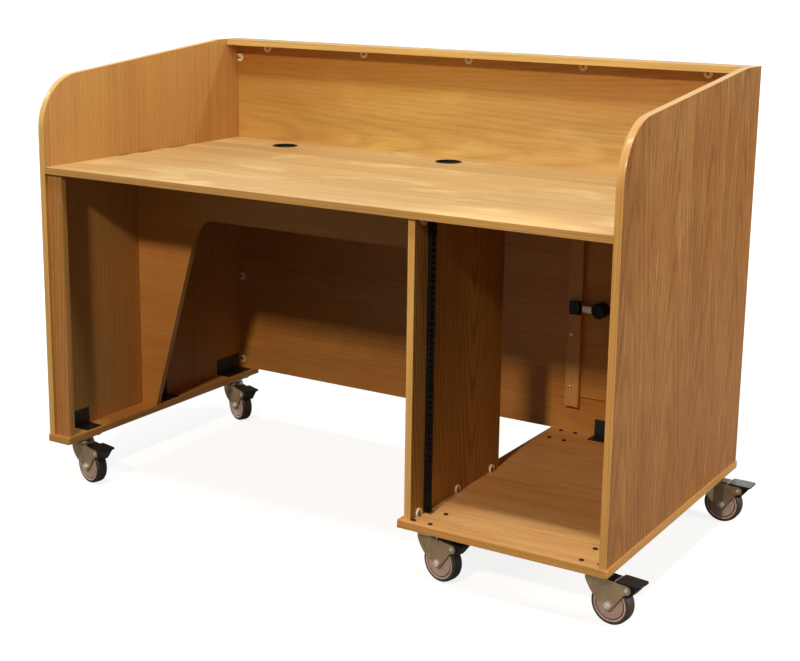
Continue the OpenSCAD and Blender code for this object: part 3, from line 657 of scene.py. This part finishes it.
def floor():
    mat = bpy.data.materials.new("pale_floor")
    mat.use_nodes = True
    g = Nodes(mat.node_tree)
    rays = g.add("ShaderNodeLightPath").outputs
    shade = g.mad(rays["Is Glossy Ray"], FLOOR_MIRRORED, rays["Is Camera Ray"])
    diffuse = g.add("ShaderNodeBsdfDiffuse")
    g.feed(diffuse.inputs[0], g.ramp(shade, [(0.0, FLOOR_BOUNCE), (1.0, FLOOR_SEEN)]))
    white = g.add("ShaderNodeEmission")
    g.feed(white.inputs[0], WHITE)
    g.feed(white.inputs[1], FLOOR_WHITE)
    x, y, z = g.xyz(g.add("ShaderNodeTexCoord").outputs["Object"])
    share = g.between(g.step(g.length(x, y), WHITE_FROM, WHITE_TO), WHITE_NEAR, 1)
    surface = g.mix_shader(g.mul(share, rays["Is Camera Ray"]), diffuse.outputs[0],
                           white.outputs[0])
    g.feed(g.add("ShaderNodeOutputMaterial").inputs[0], surface)

    mesh = bpy.data.meshes.new("floor")
    bm = bmesh.new()
    bmesh.ops.create_grid(bm, x_segments=8, y_segments=8, size=HALF_SIZE)
    bm.to_mesh(mesh)
    bm.free()
    mesh.materials.append(mat)
    ob = bpy.data.objects.new("floor", mesh)
    ob.location.z = -UNDER
    scene.collection.objects.link(ob)


def studio():
    """A weak warm world, seen as white by the camera and in mirrors and glass."""
    world = bpy.data.worlds.new("studio")
    scene.world = world
    world.use_nodes = True
    g = Nodes(world.node_tree)
    shades = []
    for colour, strength in (((1.0, 0.88, 0.68, 1), 0.08), (WHITE, 1.0)):
        node = g.add("ShaderNodeBackground")
        g.feed(node.inputs[0], colour)
        g.feed(node.inputs[1], strength)
        shades.append(node.outputs[0])
    rays = g.add("ShaderNodeLightPath").outputs
    seen = g.math("ADD", rays["Is Camera Ray"], rays["Is Glossy Ray"], clamp=True)
    seen = g.math("ADD", seen, rays["Is Transmission Ray"], clamp=True)
    g.feed(g.add("ShaderNodeOutputWorld").inputs[0], g.mix_shader(seen, *shades))


def place_lamp(name, kind, at, to, power, colour):
    data = bpy.data.lights.new(name, kind)
    data.energy = power
    data.color = colour
    ob = bpy.data.objects.new(name, data)
    scene.collection.objects.link(ob)
    ob.location = at
    ob.rotation_euler = (Vector(to) - Vector(at)).to_track_quat("-Z", "Y").to_euler()
    return data


def lamp(name, at, to, size, power, colour):
    data = place_lamp(name, "AREA", at, to, power, colour)
    data.shape = "RECTANGLE"
    data.size, data.size_y = size


def spot(name, at, to, degrees, power, colour):
    data = place_lamp(name, "SPOT", at, to, power, colour)
    data.spot_size = math.radians(degrees)
    data.spot_blend = 0.8
    data.shadow_soft_size = 0.08


floor()
studio()
lamp("key", (0.886, -5.21, 4.13), (0, 0, 0.7), (0.36, 0.36), 192, (1, 0.82, 0.61))
lamp("overhead", (0.1, -1.0, 3.6), (0.1, -0.3, 0.8), (1.6, 0.3), 44, (0.92, 1, 1))
lamp("side", (4.4, 0.3, 1.5), (0.9, 0, 0.6), (1.2, 1.2), 93, (1, 0.95, 0.78))
lamp("behind", (1.0, 1.9, 4.0), (-0.4, 0, 1.0), (0.3, 0.3), 46, (0.75, 0.88, 1.0))
lamp("left", (-3.2, -0.9, 3.0), (0.4, 0.4, 1.0), (0.5, 0.5), 30, (0.72, 0.92, 1.0))
lamp("left_fill", (-4.6, 0.2, 0.45), (-0.84, 0, 0.62), (2.4, 0.6), 62, (1, 0.94, 0.8))
lamp("rear_fill", (-0.6, 5.0, 0.8), (0, 0.4, 0.5), (2.4, 0.9), 45, (1, 0.95, 0.86))
spot("bay_front", (0.45, -1.05, 3.6), (0.52, -0.42, 0.15), 13, 170, (0.96, 1, 0.92))


# ------------------------------------------------------------------- camera

VIEW_SIZE = (800, 661)              # pixels
VIEW_CENTRE = (411.583, 272.104)    # where the optical axis meets the picture
FOCAL = 1458.374                    # pixels
SENSOR = 36
YAW, PITCH, ROLL = map(math.radians, (31.0708, -12.3582, 0.8926))
EYE = (1.977906, -3.228526, 1.471914)


def place_camera():
    forward = Vector((-math.sin(YAW) * math.cos(PITCH), math.cos(YAW) * math.cos(PITCH),
                      math.sin(PITCH)))
    right = Vector((math.cos(YAW), math.sin(YAW), 0))
    up = right.cross(forward)
    right, up = (math.cos(ROLL) * right + math.sin(ROLL) * up,
                 -math.sin(ROLL) * right + math.cos(ROLL) * up)
    data = bpy.data.cameras.new("camera")
    data.sensor_fit = "HORIZONTAL"
    data.sensor_width = SENSOR
    data.lens = FOCAL * SENSOR / VIEW_SIZE[0]
    data.shift_x = (VIEW_SIZE[0] / 2 - VIEW_CENTRE[0]) / VIEW_SIZE[0]
    data.shift_y = (VIEW_CENTRE[1] - VIEW_SIZE[1] / 2) / VIEW_SIZE[0]
    data.clip_end = 300
    camera = bpy.data.objects.new("camera", data)
    scene.collection.objects.link(camera)
    camera.matrix_world = Matrix.Translation(EYE) @ \
        Matrix((right, up, -forward)).transposed().to_4x4()
    scene.camera = camera


place_camera()
scene.view_settings.view_transform = "Standard"
